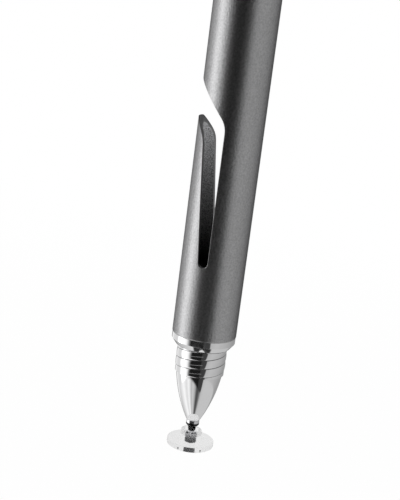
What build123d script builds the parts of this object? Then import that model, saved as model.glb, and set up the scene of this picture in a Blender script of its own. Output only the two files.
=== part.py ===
from build123d import *

import os
from math import radians, tan

# Disc stylus pen, in millimetres. The pen's axis is Z and its tip points down.
# z = 0 is the barrel's front end, where the nib's flange seats.
# The pocket clip is a tongue cut from the barrel's own wall, on the -X side.

# Barrel tube
barrel_diameter = 9.0
barrel_wall = 0.7
barrel_length = 106.0
barrel_rear_chamfer = 0.1

# Clip slot, cut straight through the tube along Y, with its mouth above the tongue's tip
slot_foot_height = 10.25
slot_foot_width = 1.33
slot_body_offset = 0.23
tongue_edge_angle = 5.5
tongue_bend_radius = 2.0
tongue_length = 20.25
tongue_tip_angle = 31.0
tongue_tip_radius = 0.15
lip_bend_radius = 2.0
mouth_height = 4.9
lip_angle = 39.7
lip_radius = 1.4
slot_mouth_margin = 0.05
slot_mouth_run = 2.0
slot_foot_round_share = 0.48

# Nib
flange_step = 0.05
flange_height = 0.87
shoulder_height = 1.05
thread_starts = 2
thread_rows = 3
thread_pitch = 1.25
thread_root_diameter = 6.76
thread_crest_diameter = 7.04
thread_groove_width = 0.06
thread_flank = 0.05
thread_sink = 0.06
thread_start_angle = -116.0
thread_start_rise = 0.51
nose_top_diameter = 6.54
nose_length = 7.08
nose_bulge = 0.33
nose_end_diameter = 2.06
nose_end_chamfer = 0.08
spigot_height = 1.0
spigot_clearance = 0.03
shank_diameter = 5.2
shank_length = 5.0
shank_chamfer = 0.4
stud_bore_length = 4.2

# Threaded bush behind the nib
bush_length = 6.0
bush_chamfer = 0.35
shank_clearance = 0.03

# Ball stud
stud_shank_diameter = 1.5
stud_clearance = 0.03
stud_play = 0.03
collar_diameter = 1.88
collar_drop = 0.85
ball_drop = 2.45
ball_diameter = 1.2
taper_top_diameter = 1.22
taper_top_drop = 0.35
taper_end_diameter = 1.04
taper_end_rise = 0.7
stud_end_length = 0.4
stud_end_chamfer = 0.15

# Retaining ring on the stud's upper end
ring_groove_diameter = 1.1
retainer_diameter = 2.6
retainer_thickness = 0.35
retainer_gap = 0.9
retainer_clearance = 0.1

# Socket that holds the ball
socket_diameter = 1.66
socket_lip_rise = 0.28
socket_length = 1.38
socket_clearance = 0.02
socket_foot_diameter = 0.8
finger_slit_width = 0.14
finger_slit_drop = 0.15

# Clear disc with its hub
hub_gap = 1.7
hub_diameter = 3.0
hub_height = 1.45
hub_mouth_diameter = 2.0
hub_mouth_chamfer = 0.12
hub_mouth_depth = 1.0
hub_rim_radius = 0.12
hub_foot_radius = 0.2
disc_diameter = 6.64
disc_thickness = 0.75
disc_rim_chamfer = 0.08

# Conductive film under the disc
film_margin = 0.17
film_thickness = 0.08

# Rear end plug
plug_head_step = 0.05
plug_head_height = 1.1
plug_head_chamfer = 0.35
plug_shank_length = 6.0
plug_clearance = 0.02
plug_relief_diameter = 5.2
plug_relief_depth = 5.0

# Every cut runs this far past what it cuts
overrun = 1.0

# Radii and heights worked out from the sizes above
barrel_radius = barrel_diameter / 2
bore_radius = barrel_radius - barrel_wall
flange_radius = barrel_radius - flange_step
shoulder_z = -flange_height
thread_z = shoulder_z - shoulder_height
nose_z = thread_z - thread_rows * thread_pitch
thread_start_z = nose_z + thread_start_rise
nib_end_z = nose_z - nose_length
nib_top_z = spigot_height + shank_length
pocket_floor_z = nib_end_z + stud_bore_length
collar_top_z = nib_end_z - stud_play
collar_foot_z = nib_end_z - collar_drop
taper_top_z = collar_foot_z - taper_top_drop
ball_z = nib_end_z - ball_drop
taper_end_z = ball_z + taper_end_rise
retainer_z = pocket_floor_z + stud_play
stud_top_z = retainer_z + retainer_thickness + stud_end_length
hub_top_z = nib_end_z - hub_gap
disc_top_z = hub_top_z - hub_height
disc_foot_z = disc_top_z - disc_thickness
film_foot_z = disc_foot_z - film_thickness
socket_top_z = ball_z + socket_lip_rise
socket_foot_z = socket_top_z - socket_length
cavity_radius = ball_diameter / 2 + socket_clearance

os.makedirs("parts", exist_ok=True)


def finish(piece, name):
    """Labels a finished piece and writes its STEP file."""
    piece.part.label = name
    export_step(piece.part, f"parts/{name}.step")


# Barrel: a plain tube whose wall is slotted so that a spring tongue stays on the -X side
tongue_tip_z = slot_foot_height + tongue_length
lip_z = tongue_tip_z + mouth_height
slot_mouth_x = -(barrel_radius + slot_mouth_margin)
slot_outer_x = slot_mouth_x - overrun
foot_tongue_x = slot_body_offset - slot_foot_width
tongue_edge_slope = tan(radians(tongue_edge_angle))
tongue_tip_slope = tan(radians(tongue_tip_angle))
lip_slope = tan(radians(lip_angle))
lip_bend_z = lip_z - (slot_body_offset - slot_mouth_x) / lip_slope
# The tongue's long edge and its slanted end meet where both give the same x
tongue_rise = foot_tongue_x - slot_mouth_x - tongue_length * tongue_tip_slope
tongue_bend_z = slot_foot_height + tongue_rise / (tongue_edge_slope - tongue_tip_slope)
tongue_bend_x = foot_tongue_x - (tongue_bend_z - slot_foot_height) * tongue_edge_slope
foot_round = slot_foot_width * slot_foot_round_share

with BuildPart() as barrel:
    with BuildSketch():
        Circle(barrel_radius)
        Circle(bore_radius, mode=Mode.SUBTRACT)
    extrude(amount=barrel_length)
    outer_ends = barrel.edges().filter_by(GeomType.CIRCLE).group_by(SortBy.RADIUS)[-1]
    chamfer(outer_ends.sort_by(Axis.Z)[-1], length=barrel_rear_chamfer)
    with BuildSketch(Plane.XZ):
        with BuildLine():
            FilletPolyline(
                (foot_tongue_x, slot_foot_height),
                (slot_body_offset, slot_foot_height),
                (slot_body_offset, lip_bend_z),
                (slot_mouth_x, lip_z),
                (slot_mouth_x, lip_z + slot_mouth_run),
                (slot_outer_x, lip_z + slot_mouth_run),
                (slot_outer_x, tongue_tip_z - slot_mouth_run),
                (slot_mouth_x, tongue_tip_z - slot_mouth_run),
                (slot_mouth_x, tongue_tip_z),
                (tongue_bend_x, tongue_bend_z),
                radius=[
                    foot_round,
                    foot_round,
                    lip_bend_radius,
                    lip_radius,
                    0,
                    0,
                    0,
                    0,
                    tongue_tip_radius,
                    tongue_bend_radius,
                ],
                close=True,
            )
        make_face()
    extrude(amount=barrel_radius + overrun, both=True, mode=Mode.SUBTRACT)
finish(barrel, "barrel")

# Thread on the nib: flat-topped ridges, one for each start, that climb from the nose into the shoulder
root_radius = thread_root_diameter / 2
ridge_height = (thread_crest_diameter - thread_root_diameter) / 2
ridge_half = (thread_pitch - thread_groove_width) / 2
thread_lead = thread_starts * thread_pitch
ridge_path = Helix(thread_lead, thread_z - thread_start_z, root_radius, center=(0, 0, thread_start_z))
ridge_path = ridge_path.rotate(Axis.Z, thread_start_angle)
ridge_start = ridge_path @ 0
ridge_outward = (ridge_start.X, ridge_start.Y, 0)
with BuildPart() as ridge:
    with BuildSketch(Plane(ridge_start, x_dir=ridge_outward, z_dir=ridge_path % 0)):
        with BuildLine():
            Polyline(
                (-thread_sink, -ridge_half),
                (ridge_height, thread_flank - ridge_half),
                (ridge_height, ridge_half - thread_flank),
                (-thread_sink, ridge_half),
                close=True,
            )
        make_face()
    sweep(path=ridge_path, is_frenet=True)

# Nib: flange, sloping shoulder, threaded grip and an ogive nose, turned in one piece
with BuildPart() as nib:
    with BuildSketch(Plane.XZ):
        with BuildLine():
            Polyline(
                (0, nib_end_z),
                (0, nib_top_z),
                (shank_diameter / 2, nib_top_z),
                (shank_diameter / 2, spigot_height),
                (bore_radius - spigot_clearance, spigot_height),
                (bore_radius - spigot_clearance, 0),
                (flange_radius, 0),
                (flange_radius, shoulder_z),
                (root_radius, thread_z),
                (root_radius, nose_z),
                (nose_top_diameter / 2, nose_z),
            )
            SagittaArc((nose_top_diameter / 2, nose_z), (nose_end_diameter / 2, nib_end_z), nose_bulge)
            Line((nose_end_diameter / 2, nib_end_z), (0, nib_end_z))
        make_face()
    revolve(axis=Axis.Z)
    with PolarLocations(0, thread_starts):
        add(ridge.part)
    top_edge = nib.edges().filter_by(GeomType.CIRCLE).sort_by(Axis.Z)[-1]
    chamfer(top_edge, length=shank_chamfer)
    end_edge = nib.edges().filter_by(GeomType.CIRCLE).sort_by(Axis.Z)[0]
    chamfer(end_edge, length=nose_end_chamfer)
    with BuildSketch(Plane.XY.offset(nib_end_z)):
        Circle(stud_shank_diameter / 2 + stud_clearance)
    extrude(amount=nib_top_z - nib_end_z, mode=Mode.SUBTRACT)
    with BuildSketch(Plane.XY.offset(pocket_floor_z)):
        Circle(retainer_diameter / 2 + retainer_clearance)
    extrude(amount=nib_top_z - pocket_floor_z, mode=Mode.SUBTRACT)
finish(nib, "nib")

# Front bush: fixed in the tube, it carries the thread that the nib's shank screws into
with BuildPart() as front_bush:
    with BuildSketch(Plane.XY.offset(spigot_height)):
        Circle(bore_radius)
        Circle(shank_diameter / 2 + shank_clearance, mode=Mode.SUBTRACT)
    extrude(amount=bush_length)
    bore_mouths = front_bush.edges().filter_by(GeomType.CIRCLE).group_by(SortBy.RADIUS)[0]
    chamfer(bore_mouths.sort_by(Axis.Z)[0], length=bush_chamfer)
finish(front_bush, "front_bush")

# Ball stud: shank in the nib, collar under the nib's end, a taper whose end points at the ball's centre
with BuildPart() as ball_stud:
    groove_top_z = retainer_z + retainer_thickness
    with BuildSketch(Plane.XZ):
        with BuildLine():
            Polyline(
                (0, ball_z),
                (0, stud_top_z),
                (stud_shank_diameter / 2, stud_top_z),
                (stud_shank_diameter / 2, groove_top_z),
                (ring_groove_diameter / 2, groove_top_z),
                (ring_groove_diameter / 2, retainer_z),
                (stud_shank_diameter / 2, retainer_z),
                (stud_shank_diameter / 2, collar_top_z),
                (collar_diameter / 2, collar_top_z),
                (collar_diameter / 2, collar_foot_z),
                (taper_top_diameter / 2, taper_top_z),
                (taper_end_diameter / 2, taper_end_z),
                close=True,
            )
        make_face()
    revolve(axis=Axis.Z)
    stud_end = ball_stud.edges().filter_by(GeomType.CIRCLE).sort_by(Axis.Z)[-1]
    chamfer(stud_end, length=stud_end_chamfer)
    with Locations((0, 0, ball_z)):
        Sphere(ball_diameter / 2)
finish(ball_stud, "ball_stud")

# Retaining ring: an open ring snapped into the stud's groove inside the nib
with BuildPart() as retaining_ring:
    with BuildSketch(Plane.XY.offset(retainer_z)):
        Circle(retainer_diameter / 2)
        Circle(ring_groove_diameter / 2, mode=Mode.SUBTRACT)
        with Locations((retainer_diameter / 2, 0)):
            Rectangle(retainer_diameter, retainer_gap, mode=Mode.SUBTRACT)
    extrude(amount=retainer_thickness)
finish(retaining_ring, "retaining_ring")

# Socket insert: a metal cup whose slit lip snaps over the ball; its foot reaches the film
with BuildPart() as socket_insert:
    with BuildSketch(Plane.XY.offset(disc_foot_z)):
        Circle(socket_foot_diameter / 2)
    extrude(amount=socket_foot_z - disc_foot_z)
    with BuildSketch(Plane.XY.offset(socket_foot_z)):
        Circle(socket_diameter / 2)
    extrude(amount=socket_length)
    with Locations((0, 0, ball_z)):
        Sphere(cavity_radius, mode=Mode.SUBTRACT)
    with BuildSketch(Plane.XY.offset(ball_z - finger_slit_drop)):
        Rectangle(socket_diameter + overrun, finger_slit_width)
        Rectangle(finger_slit_width, socket_diameter + overrun)
    extrude(amount=socket_lip_rise + finger_slit_drop + overrun, mode=Mode.SUBTRACT)
finish(socket_insert, "socket_insert")

# Tip disc: clear moulding with a hub, bored for the socket insert and its foot
with BuildPart() as tip_disc:
    with BuildSketch(Plane.XZ):
        with BuildLine():
            Polyline(
                (socket_foot_diameter / 2, disc_foot_z),
                (socket_foot_diameter / 2, socket_foot_z),
                (socket_diameter / 2, socket_foot_z),
                (socket_diameter / 2, hub_top_z - hub_mouth_depth),
                (hub_mouth_diameter / 2, hub_top_z - hub_mouth_depth),
                (hub_mouth_diameter / 2, hub_top_z - hub_mouth_chamfer),
                (hub_mouth_diameter / 2 + hub_mouth_chamfer, hub_top_z),
                (hub_diameter / 2, hub_top_z),
                (hub_diameter / 2, disc_top_z),
                (disc_diameter / 2, disc_top_z),
                (disc_diameter / 2, disc_foot_z),
                close=True,
            )
        make_face()
    revolve(axis=Axis.Z)
    round_edges = tip_disc.edges().filter_by(GeomType.CIRCLE)
    hub_edges = round_edges.filter_by(lambda e: abs(e.radius - hub_diameter / 2) < hub_rim_radius)
    disc_edges = round_edges.group_by(SortBy.RADIUS)[-1]
    fillet(hub_edges.sort_by(Axis.Z)[-1], radius=hub_rim_radius)
    fillet(hub_edges.sort_by(Axis.Z)[0], radius=hub_foot_radius)
    chamfer(disc_edges.sort_by(Axis.Z)[-1], length=disc_rim_chamfer)
finish(tip_disc, "tip_disc")

# Conductive film: bonded to the disc's underside, it is the face that meets the screen
with BuildPart() as contact_film:
    with BuildSketch(Plane.XY.offset(film_foot_z)):
        Circle(disc_diameter / 2 - film_margin)
    extrude(amount=film_thickness)
finish(contact_film, "contact_film")

# End plug: closes the tube's rear end
with BuildPart() as end_plug:
    with BuildSketch(Plane.XY.offset(barrel_length)):
        Circle(barrel_radius - plug_head_step)
    extrude(amount=plug_head_height)
    chamfer(end_plug.edges().sort_by(Axis.Z)[-1], length=plug_head_chamfer)
    with BuildSketch(Plane.XY.offset(barrel_length - plug_shank_length)):
        Circle(bore_radius - plug_clearance)
    extrude(amount=plug_shank_length)
    with BuildSketch(Plane.XY.offset(barrel_length - plug_shank_length)):
        Circle(plug_relief_diameter / 2)
    extrude(amount=plug_relief_depth, mode=Mode.SUBTRACT)
finish(end_plug, "end_plug")
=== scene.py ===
from math import atan, ceil, cos, floor, pi, radians, sin, tan

import bmesh
import bpy
from bpy.props import FloatProperty, FloatVectorProperty, IntProperty, PointerProperty
from mathutils import Matrix, Vector


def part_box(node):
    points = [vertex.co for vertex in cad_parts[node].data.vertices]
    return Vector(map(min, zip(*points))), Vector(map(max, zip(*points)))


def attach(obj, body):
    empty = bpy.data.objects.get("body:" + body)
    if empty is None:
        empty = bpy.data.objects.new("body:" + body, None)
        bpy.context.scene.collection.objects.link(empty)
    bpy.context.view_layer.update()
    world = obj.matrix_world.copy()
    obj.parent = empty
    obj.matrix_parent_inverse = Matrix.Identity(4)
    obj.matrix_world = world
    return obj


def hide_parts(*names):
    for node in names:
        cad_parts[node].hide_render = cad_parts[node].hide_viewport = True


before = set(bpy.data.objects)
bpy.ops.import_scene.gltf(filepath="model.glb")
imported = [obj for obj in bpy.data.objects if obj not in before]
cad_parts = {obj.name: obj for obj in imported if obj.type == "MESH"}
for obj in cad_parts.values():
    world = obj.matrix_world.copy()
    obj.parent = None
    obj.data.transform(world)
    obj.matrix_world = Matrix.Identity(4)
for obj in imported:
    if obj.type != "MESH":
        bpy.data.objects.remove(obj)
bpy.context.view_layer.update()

bl_info = {
    "name": "Disc stylus pen",
    "version": (1, 0, 0),
    "blender": (4, 5, 0),
    "location": "3D View > Sidebar > Stylus",
    "description": "Makes the visible pieces, finishes and studio of a disc stylus pen",
    "category": "Add Mesh",
}

# Everything is in metres. The pen's axis is Z, its tip points down, and the clip is on the -X side.
MM = 0.001
ARC_STEP = radians(9)
SMOOTH_ANGLE = radians(32)
MERGE_DISTANCE = 0.0002 * MM
WALL_TOLERANCE = 0.002 * MM
GUIDE_RADIUS = 5 * MM

# How finely the curved forms are divided
NOSE_STEPS = 48
BALL_STEPS = 28
CAVITY_STEPS = 24
BASE_SEGMENTS = 48
TENT_SUBDIVISIONS = 4

# Shares: a thread ridge's height at its start, and the film's rounding in its thickness
RIDGE_START = 0.45
FILM_ROUNDING = 0.25

# The finishes' grain: colour variation, grain size in mm, roughness, its spread, and depth in mm
GRAIN = {
    "blasted_aluminium": (0.22, 0.25, 0.33, 0.04, 0.03),
    "bare_cut_edge": (0.08, 0.05, 0.30, 0.05, 0.001),
    "inner_wall": (0.85, 0.16, 0.45, 0.05, 0.01),
    "bright_plating": (0.02, 0.6, 0.05, 0.015, 0.0002),
    # The next finish is darker plating that paints shade into the thread's grooves
    "dull_groove": (0.05, 0.2, 0.15, 0.03, 0.0002),
    "polished_stud": (0.03, 0.3, 0.07, 0.02, 0.0002),
    # The next finish is near black: a painted reflection of the dark below on the stud's taper
    "blackened_taper": (0.15, 0.1, 0.3, 0.05, 0.0005),
    "clear_moulding": (0.01, 1.5, 0, 0.004, 0),
    "clear_rim": (0.01, 1.5, 0, 0.004, 0),
    "turned_socket": (0.04, 0.3, 0.05, 0.02, 0),
    "conductive_film": (0.01, 1.0, 0, 0.004, 0),
    "turned_brass": (0.06, 0.2, 0.25, 0.05, 0.0008),
    "spring_steel": (0.08, 0.1, 0.32, 0.06, 0.0008),
}
# The part of the noise's range that swings a finish from one extreme to the other
NOISE_RANGE = (0.25, 0.75)
# Painted shade and light: shares of a finish's colour that are left at its lower and at its upper end, dark
# deep inside and light towards the opening
INNER_WALL_PAINTED_SHADE = (0.05, 1.9)
SOCKET_PAINTED_LIGHT = (0.6, 2.6)

# The light tent's tones: degrees to the right of the camera, and brightness
TENT_PEAK = 2.5
TENT_MIDDLE = (
    (-180, 0.1), (-167, 0.12), (-157, 0.6), (-148, 1), (-136, 0.8), (-122, 0.75), (-108, 0.75), (-102, 1.1),
    (-95, 1.9), (-79, 1.9), (-73, 1.2), (-62, 1), (-56, 0.6), (-50, 0.22), (-46, 0.06), (-43, 0.012),
    (2, 0.012), (4, 0.045), (26, 0.055), (29, 0.5), (50, 0.56), (90, 0.48), (130, 0.36), (180, 0.3),
)
TENT_LOW = (
    (-180, 0.1), (-166, 0.12), (-156, 0.5), (-140, 0.60), (-120, 0.75), (-97, 0.99), (-87, 1.07),
    (-68, 0.80), (-52, 1.03), (-36, 0.52), (-25, 0.66), (-11, 0.40), (-4, 0.12), (6, 0.07),
    (17, 0.18), (24, 0.40), (29, 0.55), (44, 0.60), (77, 0.60), (122, 0.60), (180, 0.50),
)
TENT_ABOVE = 0.14
TENT_UNDER = 0.03
# Where one tone of the tent runs into the next, as heights in shares of its radius
ABOVE_EDGE = (0.5, 0.62)
UNDER_EDGE = (-0.945, -0.965)
OPENING_EDGE = (-0.655, -0.70)
# The opening's lower edge slants between two turns and steps up over two more
SLANT = 0.155
SLANT_TURNS = (radians(-45), radians(16))
STEP = -0.16
STEP_TURNS = (radians(24), radians(30))
# The thin strip of light across the opening: its tone, lower edge, upper edge and right end
STRIP_TONE = 0.35
STRIP_FOOT = (-0.345, -0.335)
STRIP_TOP = (-0.309, -0.317)
STRIP_END = (radians(14), radians(6))

# The soft boxes: name, degrees to the right of the camera, and watts
LAMPS = (("left_lamp", -80, 0.9), ("right_lamp", 60, 0.5))

barrel_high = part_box("barrel")[1]
nib_low, nib_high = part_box("nib")
stud_low, stud_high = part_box("ball_stud")
socket_low, socket_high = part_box("socket_insert")
disc_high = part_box("tip_disc")[1]
film_low, film_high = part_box("contact_film")
plug_low, plug_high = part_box("end_plug")


def size(label, metres, description):
    """A length that a user may change."""
    return FloatProperty(
        name=label, description=description, default=metres, precision=5, unit="LENGTH", subtype="DISTANCE"
    )


def mm(label, millimetres, description):
    """A length in millimetres that a user may change."""
    return size(label, millimetres * MM, description)


def slope(label, degrees, description):
    """An angle that a user may change."""
    return FloatProperty(name=label, description=description, default=radians(degrees), subtype="ANGLE")


def share(label, value, description):
    """A strength or share that a user may change."""
    return FloatProperty(name=label, description=description, default=value, min=0, subtype="FACTOR")


def tint(label, colour, description):
    """A colour that a user may change."""
    return FloatVectorProperty(
        name=label, description=description, default=colour, size=3, min=0, max=1, subtype="COLOR"
    )


def whole(label, number, description, least=24):
    """A whole number that a user may change."""
    return IntProperty(name=label, description=description, default=number, min=least)


class BarrelSizes(bpy.types.PropertyGroup):
    """The tube and the slot that frees its clip tongue."""

    radius: size("Radius", barrel_high.x, "Outer radius of the tube")
    length: size("Length", barrel_high.z, "Length of the tube")
    wall: mm("Wall", 0.7, "Thickness of the tube's wall")
    front_chamfer: mm("Front chamfer", 0.07, "Chamfer on the front end's outer edge")
    rear_chamfer: mm("Rear chamfer", 0.1, "Chamfer on the rear end's outer edge")
    edge: mm("Edge", 0.05, "Chamfer along the slot's edges")
    foot_height: mm("Foot height", 10.25, "Height of the slot's lower end")
    foot_width: mm("Foot width", 1.33, "Width of the slot at its lower end")
    foot_round: share("Foot rounding", 0.48, "Corner radius of the slot's foot, as a share of its width")
    body_offset: mm("Body offset", 0.23, "Distance of the slot's straight edge from the axis")
    tongue_slope: slope("Tongue slope", 5.5, "Lean of the tongue's long edge")
    tongue_bend: mm("Tongue bend", 4.0, "Radius between the tongue's long edge and its slanted end")
    tongue_length: mm("Tongue length", 20.25, "Length of the tongue from the slot's foot")
    tip_slope: slope("Tip slope", 31.0, "Lean of the tongue's slanted end")
    tip_radius: mm("Tip radius", 0.15, "Radius at the tongue's tip")
    mouth_height: mm("Mouth height", 4.9, "Opening between the tongue's tip and the lip above it")
    lip_slope: slope("Lip slope", 39.7, "Lean of the lip above the tongue")
    lip_bend: mm("Lip bend", 3.0, "Radius between the slot's straight edge and the lip")
    lip_radius: mm("Lip radius", 1.4, "Radius where the lip runs out into the tube's side")
    mouth_margin: mm("Mouth margin", 0.05, "How far the slot's mouth stands outside the tube")
    mouth_run: mm("Mouth run", 2.0, "Height of the cut beyond the slot's mouth")
    overrun: mm("Overrun", 1.0, "How far the cut runs past the tube")
    segments: whole("Segments", 248, "Sides of the turned tube")


class NibSizes(bpy.types.PropertyGroup):
    """The turned nib with its flange, threaded grip and ogive nose."""

    flange_radius: size("Flange radius", nib_high.x, "Radius of the band under the barrel")
    flange_height: mm("Flange height", 0.87, "Height of the band under the barrel")
    shoulder: mm("Shoulder", 0.75, "Height of the slope below the band")
    shoulder_foot: mm("Shoulder foot", 3.87, "Radius at the slope's lower end")
    relief: mm("Relief", 0.23, "Height of the plain groove between the shoulder and the thread")
    grip_drop: mm("Grip drop", 1.92, "Height from the flange's seat to the highest whole ridge")
    thread_starts: whole("Thread starts", 2, "Ridges side by side", least=1)
    thread_rows: whole("Thread rows", 3, "Ridges one above the other", least=1)
    thread_steps: whole("Thread steps", 60, "Rows of faces in one ridge", least=12)
    thread_pitch: mm("Thread pitch", 1.25, "Distance from one ridge to the next")
    thread_root: mm("Thread root", 3.38, "Radius in the thread's groove")
    thread_crest: mm("Thread crest", 3.52, "Radius of the thread's ridge")
    thread_crown: mm("Thread crown", 0.05, "How far the ridge bows out between its edges")
    groove_width: mm("Groove width", 0.15, "Width of the thread's groove")
    groove_turn: slope("Groove turn", -100, "Angle where the groove reaches the grip's lower end")
    thread_start: slope("Thread start", -102, "Angle where the ridge has its full height")
    thread_run_in: slope("Thread run-in", 30, "Angle over which the ridge rises")
    nose_top: mm("Nose top", 3.27, "Radius of the nose under the grip")
    nose_bulge: mm("Nose bulge", 0.33, "How far the nose bows out between its ends")
    nose_end: mm("Nose end", 1.03, "Radius of the nose's lower end")
    spigot: mm("Spigot", 1.0, "Height of the spigot that centres the nib in the tube")
    spigot_gap: mm("Spigot gap", 0.03, "Room between the spigot and the tube")
    shank: mm("Shank", 2.6, "Radius of the shank that goes into the bush")
    shank_chamfer: mm("Shank chamfer", 0.4, "Chamfer on the shank's end")
    stud_bore: mm("Stud bore", 0.78, "Radius of the bore for the stud")
    stud_bore_length: mm("Stud bore length", 4.2, "Length of the bore for the stud")
    pocket: mm("Pocket", 1.4, "Radius of the pocket that holds the retaining ring")
    edge: mm("Edge", 0.05, "Rounding of the turned edges")
    segments: whole("Segments", 192, "Sides of the turned nib")


class StudSizes(bpy.types.PropertyGroup):
    """The stud that carries the tip on its ball."""

    shank: mm("Shank", 0.75, "Radius of the shank in the nib")
    groove: mm("Groove", 0.55, "Radius at the retaining ring's groove")
    groove_height: mm("Groove height", 0.35, "Height of the retaining ring's groove")
    end_length: mm("End length", 0.4, "Length above the groove")
    end_chamfer: mm("End chamfer", 0.15, "Chamfer on the upper end")
    collar: size("Collar", stud_high.x, "Radius of the collar under the nib")
    collar_height: mm("Collar height", 0.82, "Height of the collar")
    collar_round: mm("Collar rounding", 0.35, "Rounding of the collar's upper edge")
    collar_edge: mm("Collar edge", 0.12, "Rounding of the collar's lower edge")
    # Painted reflection: the collar's foot and the taper are coloured near black up to this height
    dark_reflection_rise: mm("Black rise", 0.28, "How far the blackening reaches up the collar")
    taper_top: mm("Taper top", 0.61, "Radius where the taper turns steep")
    taper_drop: mm("Taper drop", 0.35, "Height of the taper's wide part")
    taper_end: mm("Taper end", 0.52, "Radius where the taper turns in to the ball")
    taper_rise: mm("Taper rise", 0.7, "Height of the taper's end above the ball's centre")
    ball: mm("Ball", 0.6, "Radius of the ball")
    nib_gap: mm("Nib gap", 0.03, "Room between the nib's end and the collar")
    segments: whole("Segments", 96, "Sides of the turned stud")


class TipSizes(bpy.types.PropertyGroup):
    """The clear disc, the socket in its hub and the film under it."""

    socket: size("Socket", socket_high.x, "Radius of the metal socket")
    socket_foot: mm("Socket foot", 0.4, "Radius of the socket's foot")
    foot_height: mm("Foot height", 0.35, "Height of the socket's foot")
    socket_room: mm("Socket room", 0.02, "Room between the ball and the socket")
    bore_gap: mm("Bore gap", 0.012, "Air between the socket and the clear hub")
    slit_width: mm("Slit width", 0.14, "Width of the slits in the socket's lip")
    slit_drop: mm("Slit drop", 0.15, "Depth of the slits below the ball's centre")
    hub: mm("Hub", 1.5, "Radius of the clear hub")
    hub_height: mm("Hub height", 1.45, "Height of the hub above the disc")
    hub_rim: mm("Hub rim", 0.12, "Rounding of the hub's upper edge")
    hub_foot: mm("Hub foot", 0.2, "Fillet between hub and disc")
    mouth: mm("Mouth", 1.0, "Radius of the hub's mouth")
    mouth_chamfer: mm("Mouth chamfer", 0.12, "Chamfer of the hub's mouth")
    mouth_depth: mm("Mouth depth", 1.0, "Depth of the hub's mouth")
    disc_edge: mm("Disc edge", 0.08, "Rounding of the disc's rim")
    film_gap: mm("Film gap", 0.004, "Air between the disc and the film")
    edge: mm("Edge", 0.03, "Rounding of the small edges")
    segments: whole("Segments", 160, "Sides of the turned tip pieces")


class PlugSizes(bpy.types.PropertyGroup):
    """The plug that closes the rear end."""

    head_chamfer: mm("Head chamfer", 0.35, "Chamfer on the head's outer edge")
    shank_gap: mm("Shank gap", 0.02, "Room between the plug and the tube")
    relief: mm("Relief", 2.6, "Radius of the hollow in the plug")
    relief_depth: mm("Relief depth", 5.0, "Depth of the hollow in the plug")
    edge: mm("Edge", 0.05, "Rounding of the turned edges")
    segments: whole("Segments", 160, "Sides of the turned plug")


class FinishColours(bpy.types.PropertyGroup):
    """Base colours of the finishes."""

    anodised: tint("Anodised aluminium", (0.46, 0.46, 0.465), "Dark grey anodised barrel")
    grazing: tint("Grazing gloss", (0.26, 0.26, 0.26), "The barrel's gloss along its sides")
    cut_edge: tint("Cut edge", (0.52, 0.52, 0.52), "Bare aluminium along the slot's edges")
    inner_wall: tint("Inner wall", (0.45, 0.45, 0.455), "Inside of the tube")
    chrome: tint("Chrome", (0.88, 0.88, 0.885), "Polished plating")
    # Painted shade: the thread's groove and its plain relief take this darker plating in place of the shade
    # in the recesses
    groove: tint("Groove", (0.55, 0.55, 0.555), "Duller plating in the thread's groove")
    stud: tint("Stud", (0.80, 0.80, 0.81), "Polished stud")
    # Painted reflection: the taper's near-black colour stands in for the dark it mirrors from below
    taper: tint("Taper", (0.03, 0.03, 0.03), "Blackened taper of the stud")
    socket: tint("Socket", (0.24, 0.24, 0.245), "Turned steel socket")
    spring: tint("Spring steel", (0.45, 0.45, 0.46), "Retaining ring")
    brass: tint("Brass", (0.72, 0.54, 0.26), "Threaded bush")
    clear: tint("Clear plastic", (0.84, 0.84, 0.84), "Disc and hub")
    clear_rim: tint("Clear rim", (0.76, 0.76, 0.76), "Rim of the disc, which looks thicker")
    film: tint("Film", (0.96, 0.96, 0.96), "Conductive film")


class StageSettings(bpy.types.PropertyGroup):
    """The camera, the floor and the light."""

    azimuth: slope("Azimuth", 13.5, "The camera's turn round the pen")
    elevation: slope("Elevation", 12.75, "How far the camera looks down")
    roll: slope("Roll", 7.26, "The camera's roll, which leans the pen in the picture")
    place: FloatVectorProperty(
        name="Camera place",
        description="Where the camera stands",
        default=(31.87 * MM, -141.55 * MM, 44.58 * MM),
        size=3,
        precision=5,
        unit="LENGTH",
        subtype="TRANSLATION",
    )
    lens: FloatProperty(name="Lens", description="Focal length in millimetres", default=77.76, min=1)
    floor_drop: mm("Floor drop", 18.0, "Height of the tip above the floor")
    floor_reach: size("Floor reach", 3.0, "Half the floor's width")
    floor_colour: tint("Floor colour", (0.95, 0.95, 0.95), "The pale floor")
    floor_roughness: share("Floor roughness", 0.8, "How matt the floor is")
    white_share: share("White share", 0.96, "How much of the floor's white is its own near the pen")
    fade_start: size("Fade start", 0.05, "Distance from the pen where the floor starts to turn white")
    fade_end: size("Fade end", 0.3, "Distance from the pen where the floor is all white")
    tent_radius: size("Tent radius", 0.8, "Radius of the light tent")
    base_radius: mm("Base radius", 7.0, "Radius of the dark disc under the tip")
    base_drop: mm("Base drop", 16.0, "Height of the tip above the dark disc")
    soft_light: share("Soft light", 0.6, "Strength of the even light all round")
    lamp_size: size("Lamp size", 0.35, "Width of each soft box")
    lamp_reach: size("Lamp reach", 0.4, "Distance of the soft boxes from the pen")
    lamp_height: size("Lamp height", 0.25, "Height of the soft boxes")


class StylusSettings(bpy.types.PropertyGroup):
    """All sizes and colours of the pen and its studio."""

    barrel: PointerProperty(type=BarrelSizes, name="Barrel")
    nib: PointerProperty(type=NibSizes, name="Nib")
    stud: PointerProperty(type=StudSizes, name="Ball stud")
    tip: PointerProperty(type=TipSizes, name="Tip")
    plug: PointerProperty(type=PlugSizes, name="End plug")
    finish: PointerProperty(type=FinishColours, name="Finishes")
    stage: PointerProperty(type=StageSettings, name="Stage")


def settings():
    """The scene's own sizes and colours."""
    return bpy.context.scene.stylus


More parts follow.
